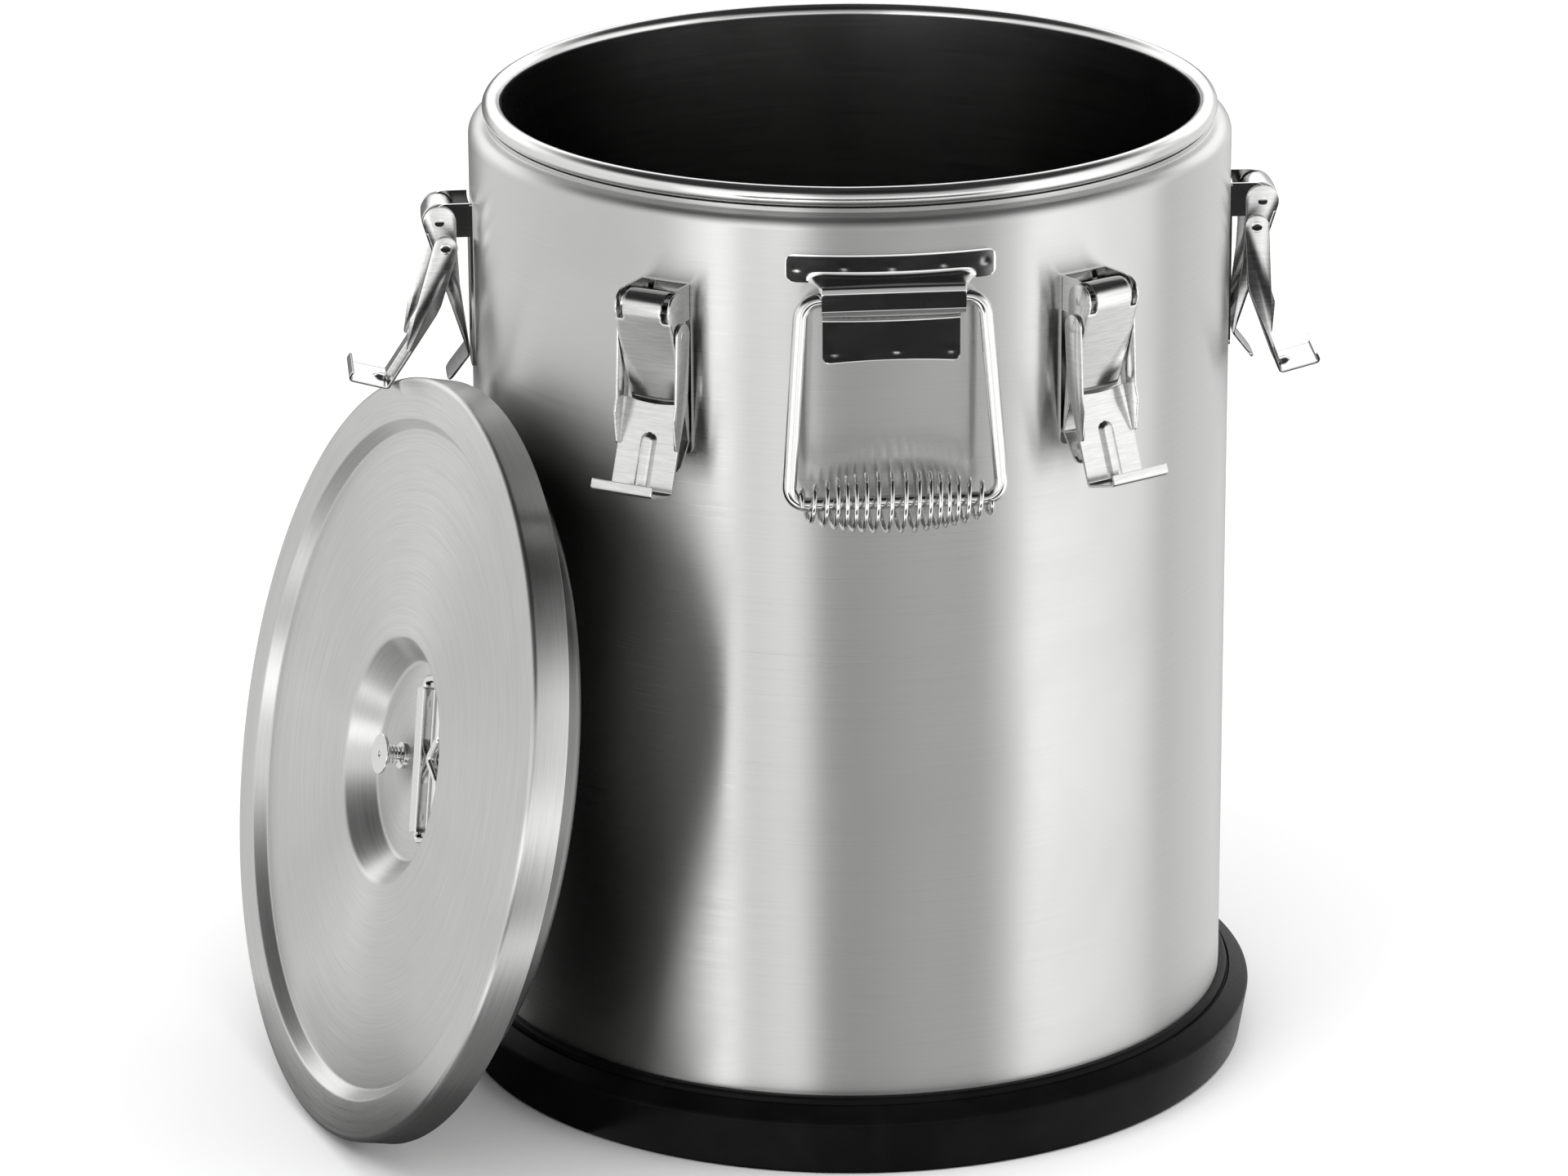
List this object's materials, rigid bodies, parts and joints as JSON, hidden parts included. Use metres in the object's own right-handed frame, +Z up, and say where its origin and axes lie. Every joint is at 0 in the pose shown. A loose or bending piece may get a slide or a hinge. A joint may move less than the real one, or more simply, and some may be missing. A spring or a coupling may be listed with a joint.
{
  "type": "insulated milk can",
  "caption": "Round insulated stainless steel can on a rubber base ring, with clamp latches, two wire bail handles and a separate flat lid leaning beside it.",
  "frame": {"origin": "on the can's axis at floor level", "axes": "+Z up along the can's axis; the front handle faces -Y; the lid leans on the can's -X side"},
  "size_m": [0.5221, 0.4723, 0.4721],
  "materials": {
    "body_steel": "fine grain brushed round the can",
    "vessel_steel": "satin inside, polished curled lip",
    "lid_steel": "circular spun grain",
    "polished_steel": "bright pressed stainless steel",
    "wire_steel": "bright drawn wire",
    "rubber": "smooth black rubber with a dull sheen",
    "silicone": "pale grey silicone",
    "foam": "closed-cell foam"
  },
  "bodies": {
    "can": {"outer_shell": "body_steel", "inner_vessel": "vessel_steel", "wall_insulation": "foam", "base_pan": "body_steel", "base_ring": "rubber", "front_handle_bracket": "polished_steel", "rear_handle_bracket": "polished_steel", "latch_base_1": "polished_steel", "latch_base_2": "polished_steel", "latch_base_3": "polished_steel", "latch_base_4": "polished_steel", "latch_base_5": "polished_steel", "latch_base_6": "polished_steel", "latch_pin_1": "polished_steel", "latch_pin_2": "polished_steel", "latch_pin_3": "polished_steel", "latch_pin_4": "polished_steel", "latch_pin_5": "polished_steel", "latch_pin_6": "polished_steel"},
    "lever_1": {"latch_lever_1": "polished_steel", "latch_rivets_1": "polished_steel"},
    "claw_1": {"latch_claw_1": "polished_steel"},
    "lever_2": {"latch_lever_2": "polished_steel", "latch_rivets_2": "polished_steel"},
    "claw_2": {"latch_claw_2": "polished_steel"},
    "lever_3": {"latch_lever_3": "polished_steel", "latch_rivets_3": "polished_steel"},
    "claw_3": {"latch_claw_3": "polished_steel"},
    "lever_4": {"latch_lever_4": "polished_steel", "latch_rivets_4": "polished_steel"},
    "claw_4": {"latch_claw_4": "polished_steel"},
    "lever_5": {"latch_lever_5": "polished_steel", "latch_rivets_5": "polished_steel"},
    "claw_5": {"latch_claw_5": "polished_steel"},
    "lever_6": {"latch_lever_6": "polished_steel", "latch_rivets_6": "polished_steel"},
    "claw_6": {"latch_claw_6": "polished_steel"},
    "front_handle": {"front_handle_bail": "wire_steel", "front_handle_grip": "wire_steel"},
    "rear_handle": {"rear_handle_bail": "wire_steel", "rear_handle_grip": "wire_steel"},
    "lid": {"lid_cover": "lid_steel", "lid_liner": "lid_steel", "lid_insulation": "foam", "lid_gasket": "silicone", "lid_handle_bracket": "polished_steel", "valve_bush": "polished_steel", "valve_spring": "wire_steel"},
    "lid_handle": {"lid_bail": "wire_steel"},
    "valve": {"valve_button": "polished_steel", "valve_seal": "silicone", "valve_nut": "polished_steel"}
  },
  "joints": [
    {"name": "lever_1_hinge", "type": "hinge", "parent": "can", "child": "lever_1", "pos_m": [0.0975, -0.16887, 0.4175], "axis": [-0.866, -0.5, 0], "range_deg": [0, 108]},
    {"name": "claw_1_hinge", "type": "hinge", "parent": "lever_1", "child": "claw_1", "pos_m": [0.09615, -0.16654, 0.4053], "axis": [0.866, 0.5, 0], "range_deg": [-172, 0]},
    {"name": "lever_2_hinge", "type": "hinge", "parent": "can", "child": "lever_2", "pos_m": [0.19488, -0.00681, 0.4175], "axis": [-0.0349, -0.9994, 0], "range_deg": [0, 108]},
    {"name": "claw_2_hinge", "type": "hinge", "parent": "lever_2", "child": "claw_2", "pos_m": [0.19218, -0.00671, 0.4053], "axis": [0.0349, 0.9994, 0], "range_deg": [-172, 0]},
    {"name": "lever_3_hinge", "type": "hinge", "parent": "can", "child": "lever_3", "pos_m": [0.0975, 0.16887, 0.4175], "axis": [0.866, -0.5, 0], "range_deg": [0, 108]},
    {"name": "claw_3_hinge", "type": "hinge", "parent": "lever_3", "child": "claw_3", "pos_m": [0.09615, 0.16654, 0.4053], "axis": [-0.866, 0.5, 0], "range_deg": [-172, 0]},
    {"name": "lever_4_hinge", "type": "hinge", "parent": "can", "child": "lever_4", "pos_m": [-0.0975, 0.16887, 0.4175], "axis": [0.866, 0.5, 0], "range_deg": [0, 108]},
    {"name": "claw_4_hinge", "type": "hinge", "parent": "lever_4", "child": "claw_4", "pos_m": [-0.09615, 0.16654, 0.4053], "axis": [-0.866, -0.5, 0], "range_deg": [-172, 0]},
    {"name": "lever_5_hinge", "type": "hinge", "parent": "can", "child": "lever_5", "pos_m": [-0.195, 0, 0.4175], "axis": [0, 1, 0], "range_deg": [0, 108]},
    {"name": "claw_5_hinge", "type": "hinge", "parent": "lever_5", "child": "claw_5", "pos_m": [-0.1923, 0, 0.4053], "axis": [0, -1, 0], "range_deg": [-158, 0]},
    {"name": "lever_6_hinge", "type": "hinge", "parent": "can", "child": "lever_6", "pos_m": [-0.10763, -0.16261, 0.4175], "axis": [-0.8339, 0.5519, 0], "range_deg": [0, 108]},
    {"name": "claw_6_hinge", "type": "hinge", "parent": "lever_6", "child": "claw_6", "pos_m": [-0.10614, -0.16036, 0.4053], "axis": [0.8339, -0.5519, 0], "range_deg": [-172, 0]},
    {"name": "front_handle_hinge", "type": "hinge", "parent": "can", "child": "front_handle", "pos_m": [0, -0.1842, 0.4245], "axis": [-1, 0, 0], "range_deg": [0, 170]},
    {"name": "rear_handle_hinge", "type": "hinge", "parent": "can", "child": "rear_handle", "pos_m": [0, 0.1842, 0.4245], "axis": [1, 0, 0], "range_deg": [0, 170]},
    {"name": "lid_slide", "type": "slide", "parent": "can", "child": "lid", "axis": [-0.9551, -0.2962, 0], "range_m": [0, 0.3]},
    {"name": "lid_handle_hinge", "type": "hinge", "parent": "lid", "child": "lid_handle", "pos_m": [-0.21254, -0.09867, 0.18098], "axis": [-0.1006, -0.3893, -0.9156], "range_deg": [0, 95]},
    {"name": "valve_press", "type": "slide", "parent": "lid", "child": "valve", "axis": [0.9306, 0.2886, -0.225], "range_m": [0, 0.004], "stiffness_N_per_m": 400, "springref_m": -0.004, "deforming": ["valve_spring"]}
  ]
}
